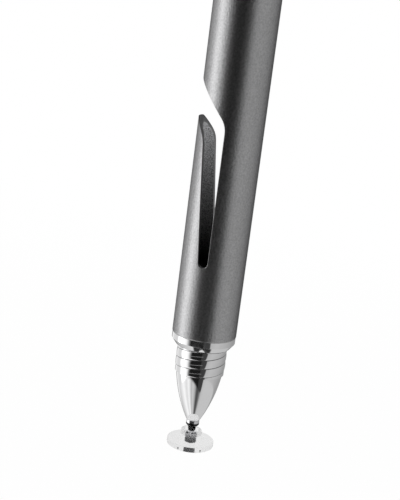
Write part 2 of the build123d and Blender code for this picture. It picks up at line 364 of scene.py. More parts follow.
def rounded(corners, closed=False, guarded=True):
    """Points along a line through (x, z, radius) corners, with each corner turned into an arc.

    A guard point just outside each end of an arc keeps smooth shading flat on the runs between."""
    points = []
    for index, (x, z, radius) in enumerate(corners):
        corner = Vector((x, z))
        at_end = not closed and index in (0, len(corners) - 1)
        if radius == 0 or at_end:
            points.append(corner)
            continue
        before = (Vector(corners[index - 1][:2]) - corner).normalized()
        after = (Vector(corners[(index + 1) % len(corners)][:2]) - corner).normalized()
        inner = before.angle(after)
        turn = pi - inner
        sense = -1 if before.cross(after) > 0 else 1
        reach = radius / tan(inner / 2)
        guard = radius * ARC_STEP
        centre = corner + (before + after).normalized() * radius / sin(inner / 2)
        arm = corner + before * reach - centre
        steps = max(2, ceil(turn / ARC_STEP))
        arc = [centre + Matrix.Rotation(sense * turn * step / steps, 2) @ arm for step in range(steps + 1)]
        if guarded:
            arc = [corner + before * (reach + guard), *arc, corner + after * (reach + guard)]
        points += arc
    return points


def bowed(start, end, bulge, steps):
    """Points along an arc from start to end, whose middle stands out by bulge on the left of the way."""
    chord = end - start
    half = 2 * atan(2 * bulge / chord.length)
    radius = chord.length / 2 / sin(half)
    along = chord.normalized()
    across = Vector((-along.y, along.x))
    middle = (start + end) / 2
    points = []
    for step in range(steps + 1):
        angle = half * (2 * step / steps - 1)
        points.append(middle + along * radius * sin(angle) + across * radius * (cos(angle) - cos(half)))
    return points


def formula(operation, swapped=False):
    """A method that makes a Math node of one operation."""

    def apply(first, *others):
        values = (first, *others)
        return reckon(first.tree, operation, *(values[::-1] if swapped else values))

    return apply


class Reading:
    """A value in a node tree, which formulas can be written with as with a number."""

    def __init__(self, tree, socket):
        self.tree = tree
        self.socket = socket

    __add__ = formula("ADD")
    __sub__ = formula("SUBTRACT")
    __rsub__ = formula("SUBTRACT", swapped=True)
    __mul__ = formula("MULTIPLY")
    __truediv__ = formula("DIVIDE")
    __rtruediv__ = formula("DIVIDE", swapped=True)
    __lt__ = formula("LESS_THAN")
    __gt__ = formula("GREATER_THAN")
    __abs__ = formula("ABSOLUTE")
    __floor__ = formula("FLOOR")
    sine = formula("SINE")
    least = formula("MINIMUM")
    most = formula("MAXIMUM")
    times_plus = formula("MULTIPLY_ADD")
    turn_from = formula("ARCTAN2")


def feed(tree, socket, value):
    """Links a socket to a reading, a socket or a node's first output, or sets it to a plain value."""
    if isinstance(value, Reading):
        value = value.socket
    elif isinstance(value, bpy.types.Node):
        value = value.outputs[0]
    if isinstance(value, bpy.types.NodeSocket):
        tree.links.new(value, socket)
    else:
        socket.default_value = value


def add_node(tree, kind, inputs, **options):
    """A new node with its options set and its inputs, by name or number, linked or set."""
    node = tree.nodes.new(kind)
    for option, value in options.items():
        setattr(node, option, value)
    for socket, value in inputs.items():
        feed(tree, node.inputs[socket], value)
    return node


def reckon(tree, operation, *values):
    """The reading of a Math node."""
    node = add_node(tree, "ShaderNodeMath", dict(enumerate(values)), operation=operation)
    return Reading(tree, node.outputs[0])


def map_range(value, start, end, low=0, high=1, way="SMOOTHSTEP"):
    """The reading of a Map Range node that takes start to low and end to high."""
    ends = {"Value": value, "From Min": start, "From Max": end, "To Min": low, "To Max": high}
    node = add_node(value.tree, "ShaderNodeMapRange", ends, interpolation_type=way)
    return Reading(value.tree, node.outputs[0])


def split(tree, vector):
    """The X, Y and Z readings of a vector."""
    parts = add_node(tree, "ShaderNodeSeparateXYZ", {0: vector})
    return [Reading(tree, socket) for socket in parts.outputs]


def length(tree, vector):
    """The reading of a vector's length."""
    node = add_node(tree, "ShaderNodeVectorMath", {0: vector}, operation="LENGTH")
    return Reading(tree, node.outputs["Value"])


def scaled(tree, vector, factor):
    """A node that scales a vector or a colour."""
    return add_node(tree, "ShaderNodeVectorMath", {0: vector, "Scale": factor}, operation="SCALE")


def own_place(tree):
    """The socket that gives a point's place in Object coordinates."""
    return tree.nodes.new("ShaderNodeTexCoord").outputs["Object"]


def add_sockets(tree, in_out, kind, *names):
    """Adds inputs or outputs of one kind to a node group."""
    for name in names:
        tree.interface.new_socket(name, in_out=in_out, socket_type=f"NodeSocket{kind}")


def turned_tree():
    """Geometry nodes that turn an outline round the pen's axis."""
    name = "Turned piece"
    if name in bpy.data.node_groups:
        return bpy.data.node_groups[name]
    tree = bpy.data.node_groups.new(name, "GeometryNodeTree")
    add_sockets(tree, "INPUT", "Geometry", "Outline")
    add_sockets(tree, "INPUT", "Int", "Segments")
    add_sockets(tree, "INPUT", "Float", "Guide radius", "Merge distance")
    add_sockets(tree, "INPUT", "Material", "Finish")
    add_sockets(tree, "OUTPUT", "Geometry", "Piece")
    given = tree.nodes.new("NodeGroupInput").outputs
    radius = given["Guide radius"]
    ring = {"Resolution": given["Segments"], "Radius": radius}
    guide = add_node(tree, "GeometryNodeCurvePrimitiveCircle", ring)
    inward = add_node(tree, "ShaderNodeCombineXYZ", {"X": Reading(tree, radius) * -1})
    profile = add_node(tree, "GeometryNodeMeshToCurve", {0: given["Outline"]})
    shift = add_node(tree, "GeometryNodeSetPosition", {0: profile, "Offset": inward})
    sweep = add_node(tree, "GeometryNodeCurveToMesh", {0: guide, "Profile Curve": shift})
    merge = add_node(tree, "GeometryNodeMergeByDistance", {0: sweep, "Distance": given["Merge distance"]})
    realize = add_node(tree, "GeometryNodeRealizeInstances", {0: merge})
    paint = add_node(tree, "GeometryNodeSetMaterial", {0: realize, "Material": given["Finish"]})
    add_node(tree, "NodeGroupOutput", {0: paint})
    return tree


def thread_tree():
    """Geometry nodes that raise a turned cylinder into low rounded ridges that climb round the axis, and
    give the grooves a darker finish as painted shade.
    """
    tree = bpy.data.node_groups.new("Thread", "GeometryNodeTree")
    lengths = ("Pitch", "Foot", "Top", "Relief", "Root", "Depth", "Crown", "Groove")
    turns = ("Groove turn", "Start", "Run-in")
    add_sockets(tree, "INPUT", "Geometry", "Piece")
    add_sockets(tree, "INPUT", "Float", "Starts", *lengths, *turns)
    add_sockets(tree, "INPUT", "Material", "Groove finish")
    add_sockets(tree, "OUTPUT", "Geometry", "Piece")
    given = tree.nodes.new("NodeGroupInput").outputs
    starts = Reading(tree, given["Starts"])
    pitch, foot, top, relief, root, depth, crown, groove = (Reading(tree, given[name]) for name in lengths)
    groove_turn, start, run_in = (Reading(tree, given[name]) for name in turns)
    x, y, z = split(tree, tree.nodes.new("GeometryNodeInputPosition"))
    flat = add_node(tree, "ShaderNodeCombineXYZ", {"X": x, "Y": y})
    reach = length(tree, flat)
    # Ridges climbed above a groove's lower end: whole ridges, and the place between two grooves
    angle = y.turn_from(x)
    per_turn = starts / (2 * pi)
    climbed = (z - foot) / pitch - (angle - groove_turn) * per_turn
    ridges = floor(climbed)
    between = climbed - ridges
    from_groove = between.least(1 - between) * pitch
    # A ridge: a steep rounded side out of the groove, then a low crown
    half_groove = groove / 2
    half_land = pitch / 2 - half_groove
    side = ((from_groove / half_groove).least(1) * (pi / 2)).sine()
    off_crest = 1 - (from_groove - half_groove).most(0) / half_land
    lift = side.times_plus(depth - crown, (1 - off_crest * off_crest) * crown)
    # A ridge rises to its full height over its run-in, and none reaches into the relief
    started = ridges / per_turn + angle - (start - run_in)
    rise = map_range(started / run_in, 0, 1, RIDGE_START, 1)
    in_relief = top - z < relief
    lift = lift * rise * (1 - in_relief)
    outward = scaled(tree, flat, lift / reach)
    # Only the grip's outer wall is raised
    middle = (foot + top) / 2
    in_grip = abs(z - middle) < top - middle + WALL_TOLERANCE
    on_wall = reach > root - WALL_TOLERANCE
    off_shoulder = reach < root + depth + WALL_TOLERANCE
    grip = in_grip * on_wall * off_shoulder
    # The groove and the plain relief take the darker finish: painted shade in the recesses
    shaded_groove = grip * in_relief.most(from_groove < half_groove)
    moved = {0: given["Piece"], "Selection": grip, "Offset": outward}
    raised = add_node(tree, "GeometryNodeSetPosition", moved)
    realize = add_node(tree, "GeometryNodeRealizeInstances", {0: raised})
    dulled = {0: realize, "Selection": shaded_groove, "Material": given["Groove finish"]}
    add_node(tree, "NodeGroupOutput", {0: add_node(tree, "GeometryNodeSetMaterial", dulled)})
    return tree


def add_object(name, data):
    """A new object at the origin, in the scene."""
    made = bpy.data.objects.new(name, data)
    bpy.context.scene.collection.objects.link(made)
    return made


def plain_mesh(source, name):
    """The mesh that an object's modifiers give, as a plain mesh with smooth faces between its edges."""
    graph = bpy.context.evaluated_depsgraph_get()
    mesh = bpy.data.meshes.new_from_object(source.evaluated_get(graph))
    mesh.name = name
    shape = bmesh.new()
    shape.from_mesh(mesh)
    bmesh.ops.remove_doubles(shape, verts=shape.verts, dist=MERGE_DISTANCE)
    bmesh.ops.recalc_face_normals(shape, faces=shape.faces)
    shape.to_mesh(mesh)
    shape.free()
    mesh.shade_smooth()
    mesh.set_sharp_from_angle(angle=SMOOTH_ANGLE)
    return mesh


def node_mesh(source, tree, values, name):
    """The plain mesh that a Geometry Nodes tree makes of an object, with its inputs set by their names."""
    modifier = source.modifiers.new(tree.name, "NODES")
    modifier.node_group = tree
    for item in tree.interface.items_tree:
        if item.in_out == "INPUT" and item.name in values:
            modifier[item.identifier] = values[item.name]
    mesh = plain_mesh(source, name)
    source.modifiers.clear()
    return mesh


def turned(name, outline, segments, finish, closed=False):
    """A piece turned from an outline of (radius, height) points."""
    count = len(outline)
    edges = [(index, index + 1) for index in range(count - 1)]
    if closed:
        edges.append((count - 1, 0))
    line = bpy.data.meshes.new(name)
    line.from_pydata([(point.x, -point.y, 0) for point in outline], edges, [])
    blank = add_object(f"{name}_outline", line)
    values = {
        "Segments": segments,
        "Guide radius": GUIDE_RADIUS,
        "Merge distance": MERGE_DISTANCE,
        "Finish": finish,
    }
    piece = add_object(name, node_mesh(blank, turned_tree(), values, name))
    bpy.data.objects.remove(blank)
    return piece


def ball_arc(radius, centre_z, start, steps):
    """Outline points round a ball, from an angle off its upper pole down to its lower pole."""
    points = []
    for step in range(1, steps + 1):
        angle = start + (pi - start) * step / steps
        points.append(Vector((radius * sin(angle), centre_z + radius * cos(angle))))
    points[-1].x = 0
    return points


def mesh_of(shape, name):
    """A mesh with a finished bmesh shape."""
    mesh = bpy.data.meshes.new(name)
    shape.to_mesh(mesh)
    shape.free()
    return mesh


def prism(name, outline, half_width):
    """A straight cutter: an outline in XZ drawn out to both sides along Y."""
    shape = bmesh.new()
    near = [shape.verts.new((point.x, -half_width, point.y)) for point in outline]
    far = [shape.verts.new((point.x, half_width, point.y)) for point in outline]
    shape.faces.new(near)
    shape.faces.new(reversed(far))
    count = len(outline)
    for index in range(count):
        after = (index + 1) % count
        shape.faces.new((near[after], near[index], far[index], far[after]))
    bmesh.ops.recalc_face_normals(shape, faces=shape.faces)
    return add_object(name, mesh_of(shape, name))


def cut(piece, cutters, edge=0, edge_slot=-1):
    """Cuts the cutters out of a piece and, if edge is given, chamfers the new edges."""
    for cutter in cutters:
        modifier = piece.modifiers.new(cutter.name, "BOOLEAN")
        modifier.operation = "DIFFERENCE"
        modifier.solver = "EXACT"
        modifier.object = cutter
    if edge:
        weld = piece.modifiers.new("Weld", "WELD")
        weld.merge_threshold = MERGE_DISTANCE
        bevel = piece.modifiers.new("Chamfer", "BEVEL")
        bevel.width = edge
        bevel.segments = 1
        bevel.limit_method = "ANGLE"
        bevel.angle_limit = SMOOTH_ANGLE
        bevel.material = edge_slot
        bevel.use_clamp_overlap = False
    mesh = plain_mesh(piece, piece.name)
    piece.modifiers.clear()
    piece.data = mesh
    for cutter in cutters:
        bpy.data.objects.remove(cutter)


def true_round(mesh, outer, inner):
    """Gives a tube's round walls the normals of a true cylinder, so that a cut leaves no streaks."""
    normals = [corner.vector.copy() for corner in mesh.corner_normals]
    for face in mesh.polygons:
        arms = [Vector(mesh.vertices[index].co.xy) for index in face.vertices]
        if min(arm.length for arm in arms) > outer - WALL_TOLERANCE:
            sense = 1
        elif max(arm.length for arm in arms) < inner + WALL_TOLERANCE:
            sense = -1
        else:
            continue
        for corner, arm in zip(face.loop_indices, arms):
            normals[corner] = (sense * arm.normalized()).to_3d()
    mesh.normals_split_custom_set(normals)


def place(piece, body, slot, node):
    """Says which body a piece rides on and which solid it stands for; the slot, the finish it would take,
    is not used.
    """
    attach(piece, body)
    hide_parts(node)


def repaint(piece, material, chosen):
    """Gives a piece one more finish, on the faces that chosen picks."""
    slots = piece.data.materials
    slots.append(material)
    for face in piece.data.polygons:
        if chosen(face):
            face.material_index = len(slots) - 1


def grain_group():
    """A shader group: fine surface grain that varies colour, roughness and height."""
    name = "Surface grain"
    if name in bpy.data.node_groups:
        return bpy.data.node_groups[name]
    group = bpy.data.node_groups.new(name, "ShaderNodeTree")
    add_sockets(group, "INPUT", "Color", "Colour")
    amounts = ("Variation", "Grain size", "Roughness", "Roughness spread", "Depth")
    add_sockets(group, "INPUT", "Float", *amounts)
    add_sockets(group, "OUTPUT", "Color", "Colour")
    add_sockets(group, "OUTPUT", "Float", "Roughness")
    add_sockets(group, "OUTPUT", "Vector", "Normal")
    given = group.nodes.new("NodeGroupInput").outputs
    grains = {
        "Vector": own_place(group),
        "Scale": 1 / Reading(group, given["Grain size"]),
        "Detail": 2,
        "Roughness": 0.6,
    }
    noise = add_node(group, "ShaderNodeTexNoise", grains).outputs["Fac"]
    swing = map_range(Reading(group, noise), *NOISE_RANGE, -1, 1, way="LINEAR")
    lighter = swing.times_plus(given["Variation"], 1)
    rougher = swing.times_plus(given["Roughness spread"], given["Roughness"])
    shade = scaled(group, given["Colour"], lighter)
    relief = add_node(group, "ShaderNodeBump", {"Strength": 1, "Distance": given["Depth"], "Height": noise})
    add_node(group, "NodeGroupOutput", {"Colour": shade, "Roughness": rougher, "Normal": relief})
    return group


def new_material(name):
    """A new material and its node tree."""
    material = bpy.data.materials.new(name)
    material.use_nodes = True
    return material, material.node_tree


def grained(name, colour, **sockets):
    """A material whose colour, roughness and height follow the surface grain."""
    variation, grain, roughness, spread, depth = GRAIN[name]
    material, tree = new_material(name)
    values = {
        "Colour": (*colour, 1),
        "Variation": variation,
        "Grain size": grain * MM,
        "Roughness": roughness,
        "Roughness spread": spread,
        "Depth": depth * MM,
    }
    effect = add_node(tree, "ShaderNodeGroup", values, node_tree=grain_group()).outputs
    shader = tree.nodes["Principled BSDF"].inputs
    feed(tree, shader["Base Color"], effect["Colour"])
    feed(tree, shader["Roughness"], effect["Roughness"])
    if depth:
        feed(tree, shader["Normal"], effect["Normal"])
    for socket, value in sockets.items():
        shader[socket.replace("_", " ")].default_value = value
    return material


def paint_shade_along(material, low_z, high_z, fade):
    """Paints shade and light into a finish's colour: scales it along the pen's axis, from one share to
    another between two heights.
    """
    tree = material.node_tree
    base = tree.nodes["Principled BSDF"].inputs["Base Color"]
    height = split(tree, own_place(tree))[2]
    level = map_range(height, low_z, high_z, *fade, way="LINEAR")
    feed(tree, base, scaled(tree, base.links[0].from_socket, level))


class STYLUS_OT_barrel(bpy.types.Operator):
    """Make the tube with its clip tongue"""

    bl_idname = "stylus.barrel"
    bl_label = "Barrel"

    def execute(self, context):
        sizes = settings().barrel
        colours = settings().finish
        gloss = (*colours.grazing, 1)
        blasted = grained("blasted_aluminium", colours.anodised, Metallic=1, Specular_Tint=gloss)
        bare = grained("bare_cut_edge", colours.cut_edge, Metallic=1)
        inside = grained("inner_wall", colours.inner_wall, Metallic=0.5)
        # Painted shade: the tube's inside is darkened towards the slot's foot and lightened towards the
        # tongue's tip
        paint_shade_along(inside, sizes.foot_height, sizes.foot_height + sizes.tongue_length, INNER_WALL_PAINTED_SHADE)
        bore = sizes.radius - sizes.wall
        outline = [
            (bore, 0, 0),
            (sizes.radius - sizes.front_chamfer, 0, 0),
            (sizes.radius, sizes.front_chamfer, 0),
            (sizes.radius, sizes.length - sizes.rear_chamfer, 0),
            (sizes.radius - sizes.rear_chamfer, sizes.length, 0),
            (bore, sizes.length, 0),
        ]
        piece = turned("barrel_tube", rounded(outline, closed=True), sizes.segments, blasted, closed=True)
        bare_slot = 1
        inside_slot = 2
        piece.data.materials.append(bare)
        piece.data.materials.append(inside)
        slot = prism("clip_slot", self.slot_outline(sizes), sizes.radius + sizes.overrun)
        cut(piece, [slot], edge=sizes.edge, edge_slot=bare_slot)
        true_round(piece.data, sizes.radius, bore)
        for face in piece.data.polygons:
            reach = max(piece.data.vertices[index].co.xy.length for index in face.vertices)
            if reach < bore + WALL_TOLERANCE:
                face.material_index = inside_slot
            elif face.center.z < sizes.front_chamfer:
                face.material_index = bare_slot
        place(piece, "pen", "barrel", "barrel")
        return {"FINISHED"}

    def slot_outline(self, sizes):
        """The slot's outline in XZ: a straight edge, a lip, an open mouth and the slanted tongue."""
        mouth_x = -(sizes.radius + sizes.mouth_margin)
        outer_x = mouth_x - sizes.overrun
        foot_x = sizes.body_offset - sizes.foot_width
        tip_z = sizes.foot_height + sizes.tongue_length
        lip_z = tip_z + sizes.mouth_height
        lip_bend_z = lip_z - (sizes.body_offset - mouth_x) / tan(sizes.lip_slope)
        edge_lean = tan(sizes.tongue_slope)
        tip_lean = tan(sizes.tip_slope)
        # The tongue's long edge and its slanted end meet where both give the same x
        rise = (foot_x - mouth_x - sizes.tongue_length * tip_lean) / (edge_lean - tip_lean)
        foot_round = sizes.foot_width * sizes.foot_round
        return rounded(
            [
                (foot_x, sizes.foot_height, foot_round),
                (sizes.body_offset, sizes.foot_height, foot_round),
                (sizes.body_offset, lip_bend_z, sizes.lip_bend),
                (mouth_x, lip_z, sizes.lip_radius),
                (mouth_x, lip_z + sizes.mouth_run, 0),
                (outer_x, lip_z + sizes.mouth_run, 0),
                (outer_x, tip_z - sizes.mouth_run, 0),
                (mouth_x, tip_z - sizes.mouth_run, 0),
                (mouth_x, tip_z, sizes.tip_radius),
                (foot_x - rise * edge_lean, sizes.foot_height + rise, sizes.tongue_bend),
            ],
            closed=True,
            guarded=False,
        )


class STYLUS_OT_nib(bpy.types.Operator):
    """Make the turned nib"""

    bl_idname = "stylus.nib"
    bl_label = "Nib"

    def execute(self, context):
        sizes = settings().nib
        barrel = settings().barrel
        colours = settings().finish
        chrome = grained("bright_plating", colours.chrome, Metallic=1)
        # The darker groove plating is painted shade for the thread's recesses
        groove_shade = grained("dull_groove", colours.groove, Metallic=1)
        end_z = nib_low.z
        shank_z = nib_high.z
        shoulder_z = -sizes.flange_height
        thread_z = shoulder_z - sizes.shoulder
        nose_z = -sizes.grip_drop - sizes.thread_rows * sizes.thread_pitch
        spigot = barrel.radius - barrel.wall - sizes.spigot_gap
        pocket_z = end_z + sizes.stud_bore_length
        upper = [
            (sizes.stud_bore, end_z, sizes.edge),
            (sizes.stud_bore, pocket_z, 0),
            (sizes.pocket, pocket_z, 0),
            (sizes.pocket, shank_z, 0),
            (sizes.shank - sizes.shank_chamfer, shank_z, 0),
            (sizes.shank, shank_z - sizes.shank_chamfer, 0),
            (sizes.shank, sizes.spigot, 0),
            (spigot, sizes.spigot, 0),
            (spigot, 0, 0),
            (sizes.flange_radius, 0, sizes.edge),
            (sizes.flange_radius, shoulder_z, sizes.edge),
            (sizes.shoulder_foot, thread_z, sizes.edge),
            (sizes.thread_root, thread_z, 0),
        ]
        outline = rounded([(sizes.nose_end, end_z, 0)] + upper)[1:-1]
        rows = sizes.thread_rows * sizes.thread_steps
        for row in range(rows + 1):
            outline.append(Vector((sizes.thread_root, thread_z + (nose_z - thread_z) * row / rows)))
        nose_start = Vector((sizes.nose_top, nose_z))
        nose_end = Vector((sizes.nose_end, end_z))
        outline += bowed(nose_start, nose_end, sizes.nose_bulge, NOSE_STEPS)
        piece = turned("nib_body", outline, sizes.segments, chrome, closed=True)
        self.raise_thread(piece, sizes, thread_z, nose_z, groove_shade)
        place(piece, "pen", "bright_metal", "nib")
        return {"FINISHED"}

    def raise_thread(self, piece, sizes, top_z, foot_z, groove_shade_finish):
        """Raises the grip's plain wall into the thread and paints shade into its grooves with a darker
        finish.
        """
        values = {
            "Starts": sizes.thread_starts,
            "Pitch": sizes.thread_pitch,
            "Foot": foot_z,
            "Top": top_z,
            "Relief": sizes.relief,
            "Root": sizes.thread_root,
            "Depth": sizes.thread_crest - sizes.thread_root,
            "Crown": sizes.thread_crown,
            "Groove": sizes.groove_width,
            "Groove turn": sizes.groove_turn,
            "Start": sizes.thread_start,
            "Run-in": sizes.thread_run_in,
            "Groove finish": groove_shade_finish,
        }
        piece.data = node_mesh(piece, thread_tree(), values, piece.name)


class STYLUS_OT_ball_stud(bpy.types.Operator):
    """Make the stud with its collar and ball"""

    bl_idname = "stylus.ball_stud"
    bl_label = "Ball stud"

    def execute(self, context):
        sizes = settings().stud
        colours = settings().finish
        polished = grained("polished_stud", colours.stud, Metallic=1)
        dark_reflection = grained("blackened_taper", colours.taper, Metallic=1)
        top_z = stud_high.z
        groove_top = top_z - sizes.end_length
        groove_foot = groove_top - sizes.groove_height
        collar_top = nib_low.z - sizes.nib_gap
        collar_foot = collar_top - sizes.collar_height
        dark_reflection_z = collar_foot + sizes.dark_reflection_rise
        ball_z = stud_low.z + sizes.ball
        taper_end_z = ball_z + sizes.taper_rise
        start = atan(sizes.taper_end / sizes.taper_rise)
        outline = rounded(
            [
                (0, top_z, 0),
                (sizes.shank - sizes.end_chamfer, top_z, 0),
                (sizes.shank, top_z - sizes.end_chamfer, 0),
                (sizes.shank, groove_top, 0),
                (sizes.groove, groove_top, 0),
                (sizes.groove, groove_foot, 0),
                (sizes.shank, groove_foot, 0),
                (sizes.shank, collar_top, 0),
                (sizes.collar, collar_top, sizes.collar_round),
                (sizes.collar, dark_reflection_z, 0),
                (sizes.collar, collar_foot, sizes.collar_edge),
                (sizes.taper_top, collar_foot - sizes.taper_drop, 0),
                (sizes.taper_end, taper_end_z, 0),
                (sizes.ball * sin(start), ball_z + sizes.ball * cos(start), 0),
            ]
        )
        outline += ball_arc(sizes.ball, ball_z, start, BALL_STEPS)
        piece = turned("stud_body", outline, sizes.segments, polished)
        # The collar's foot and the taper take the near-black finish: a painted dark reflection
        repaint(piece, dark_reflection, lambda face: ball_z + sizes.ball < face.center.z < dark_reflection_z)
        place(piece, "stud", "stud", "ball_stud")
        return {"FINISHED"}


class STYLUS_OT_tip(bpy.types.Operator):
    """Make the clear disc, its socket and the conductive film"""

    bl_idname = "stylus.tip"
    bl_label = "Tip"

    def execute(self, context):
        sizes = settings().tip
        stud = settings().stud
        colours = settings().finish
        self.make_disc(sizes, colours)
        self.make_socket(sizes, stud, colours)
        self.make_film(sizes, colours)
        return {"FINISHED"}

    def make_disc(self, sizes, colours):
        """The clear disc with its hub."""
        glassy = {"IOR": 1.08, "Transmission_Weight": 1}
        clear = grained("clear_moulding", colours.clear, **glassy)
        rim = grained("clear_rim", colours.clear_rim, **glassy)
        hub_z = disc_high.z
        top_z = hub_z - sizes.hub_height
        foot_z = film_high.z + sizes.film_gap
        ledge_z = hub_z - sizes.mouth_depth
        seat_z = socket_low.z + sizes.foot_height - sizes.bore_gap
        bore = sizes.socket + sizes.bore_gap
        foot_bore = sizes.socket_foot + sizes.bore_gap
        outline = rounded(
            [
                (foot_bore, foot_z, 0),
                (foot_bore, seat_z, 0),
                (bore, seat_z, 0),
                (bore, ledge_z, 0),
                (sizes.mouth, ledge_z, 0),
                (sizes.mouth, hub_z - sizes.mouth_chamfer, sizes.edge),
                (sizes.mouth + sizes.mouth_chamfer, hub_z, sizes.edge),
                (sizes.hub, hub_z, sizes.hub_rim),
                (sizes.hub, top_z, sizes.hub_foot),
                (disc_high.x, top_z, sizes.disc_edge),
                (disc_high.x, foot_z, sizes.disc_edge),
            ],
            closed=True,
        )
        piece = turned("clear_disc", outline, sizes.segments, clear, closed=True)
        repaint(piece, rim, lambda face: face.center.xy.length > disc_high.x - sizes.disc_edge)
        place(piece, "tip", "clear_disc", "tip_disc")

    def make_socket(self, sizes, stud, colours):
        """The metal cup whose slit lip holds the ball."""
        steel = grained("turned_socket", colours.socket, Metallic=1)
        top_z = socket_high.z
        foot_z = socket_low.z
        seat_z = foot_z + sizes.foot_height
        # Painted light and shade: the socket is darkened low down and lightened towards its top
        paint_shade_along(steel, (seat_z + top_z) / 2, top_z, SOCKET_PAINTED_LIGHT)
        ball_z = stud_low.z + stud.ball
        cavity = stud.ball + sizes.socket_room
        lip_angle = atan((cavity**2 - (top_z - ball_z) ** 2) ** 0.5 / (top_z - ball_z))
        lip = cavity * sin(lip_angle)
        outline = rounded(
            [
                (0, foot_z, 0),
                (sizes.socket_foot, foot_z, 0),
                (sizes.socket_foot, seat_z, 0),
                (sizes.socket, seat_z, sizes.edge),
                (sizes.socket, top_z, sizes.edge),
                (lip, top_z, 0),
            ]
        )
        outline += ball_arc(cavity, ball_z, lip_angle, CAVITY_STEPS)
        piece = turned("socket_cup", outline, sizes.segments, steel)
        half = sizes.slit_width / 2
        low = ball_z - sizes.slit_drop
        high = top_z + sizes.slit_drop
        across = [Vector((-half, low)), Vector((half, low)), Vector((half, high)), Vector((-half, high))]
        first = prism("slit_across", across, sizes.socket * 2)
        second = prism("slit_along", across, sizes.socket * 2)
        second.data.transform(Matrix.Rotation(pi / 2, 4, "Z"))
        cut(piece, [first, second])
        place(piece, "tip", "socket", "socket_insert")

    def make_film(self, sizes, colours):
        """The conductive film under the disc."""
        film = grained("conductive_film", colours.film, IOR=1.05, Transmission_Weight=1)
        edge = (film_high.z - film_low.z) * FILM_ROUNDING
        outline = rounded(
            [
                (0, film_high.z, 0),
                (film_high.x, film_high.z, edge),
                (film_high.x, film_low.z, edge),
                (0, film_low.z, 0),
            ]
        )
        piece = turned("contact_sheet", outline, sizes.segments, film)
        place(piece, "tip", "film", "contact_film")


class STYLUS_OT_end_plug(bpy.types.Operator):
    """Make the plug at the rear end"""

    bl_idname = "stylus.end_plug"
    bl_label = "End plug"

    def execute(self, context):
        sizes = settings().plug
        barrel = settings().barrel
        chrome = bpy.data.materials["bright_plating"]
        shank = barrel.radius - barrel.wall - sizes.shank_gap
        relief_z = plug_low.z + sizes.relief_depth
        outline = rounded(
            [
                (0, plug_high.z, 0),
                (plug_high.x - sizes.head_chamfer, plug_high.z, sizes.edge),
                (plug_high.x, plug_high.z - sizes.head_chamfer, sizes.edge),
                (plug_high.x, barrel.length, sizes.edge),
                (shank, barrel.length, 0),
                (shank, plug_low.z, 0),
                (sizes.relief, plug_low.z, 0),
                (sizes.relief, relief_z, 0),
                (0, relief_z, 0),
            ]
        )
        piece = turned("rear_plug", outline, sizes.segments, chrome)
        place(piece, "pen", "bright_metal", "end_plug")
        return {"FINISHED"}


class STYLUS_OT_inner_fittings(bpy.types.Operator):
    """Finish the bush and the retaining ring inside the nib"""

    bl_idname = "stylus.inner_fittings"
    bl_label = "Inner fittings"

    def execute(self, context):
        colours = settings().finish
        brass = grained("turned_brass", colours.brass, Metallic=1)
        spring = grained("spring_steel", colours.spring, Metallic=1)
        for node, material in (("front_bush", brass), ("retaining_ring", spring)):
            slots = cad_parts[node].data.materials
            slots.clear()
            slots.append(material)
        return {"FINISHED"}


